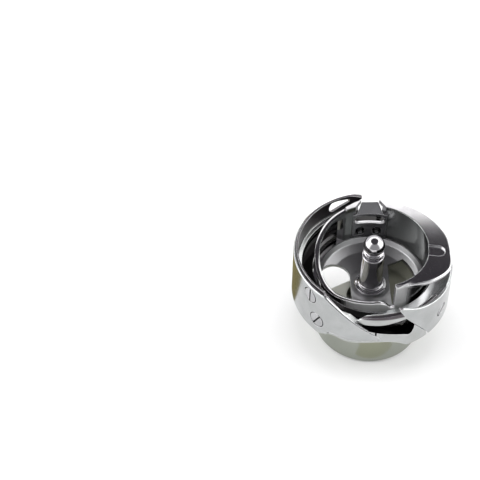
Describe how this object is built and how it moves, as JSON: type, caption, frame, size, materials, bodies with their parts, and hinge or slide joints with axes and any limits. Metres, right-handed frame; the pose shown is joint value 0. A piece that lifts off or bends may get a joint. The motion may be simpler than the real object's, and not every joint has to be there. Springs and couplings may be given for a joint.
{
  "type": "rotary sewing hook with bobbin case holder",
  "caption": "Full-rotary lockstitch hook: a round hub and raceway body with a gib and a guard plate, and inside it a bobbin case holder with a centre post that turns freely.",
  "frame": {"origin": "centre of the hub's flat bottom face", "axes": "+Z along the hook's axis of rotation, from the hub towards the open top of the holder; -Y towards the front window of the hook"},
  "size_m": [0.0341, 0.034, 0.0274],
  "materials": {
    "body_steel": "ground and polished steel",
    "plate_steel": "satin steel with bright edges",
    "screw_steel": "turned steel",
    "dark_steel": "blackened steel",
    "holder_steel": "highly polished steel",
    "post_steel": "mirror polished steel",
    "insert_steel": "fine ground steel"
  },
  "bodies": {
    "hook": {"hook_body": "body_steel", "thread_guard_plate": "plate_steel", "guard_screw_upper": "screw_steel", "guard_screw_lower": "screw_steel", "race_gib": "plate_steel", "gib_screw_front": "screw_steel", "gib_screw_middle": "screw_steel", "gib_screw_rear": "screw_steel", "hub_set_screw_side": "dark_steel", "hub_set_screw_rear": "dark_steel"},
    "holder": {"bobbin_case_holder": "holder_steel", "centre_post": "post_steel", "position_plate": "insert_steel", "position_screw_left": "screw_steel", "position_screw_right": "screw_steel"}
  },
  "joints": [
    {"name": "holder_turn", "type": "hinge", "parent": "hook", "child": "holder", "pos_m": [0, 0, 0.0175], "axis": [0, 0, 1], "continuous": true}
  ]
}
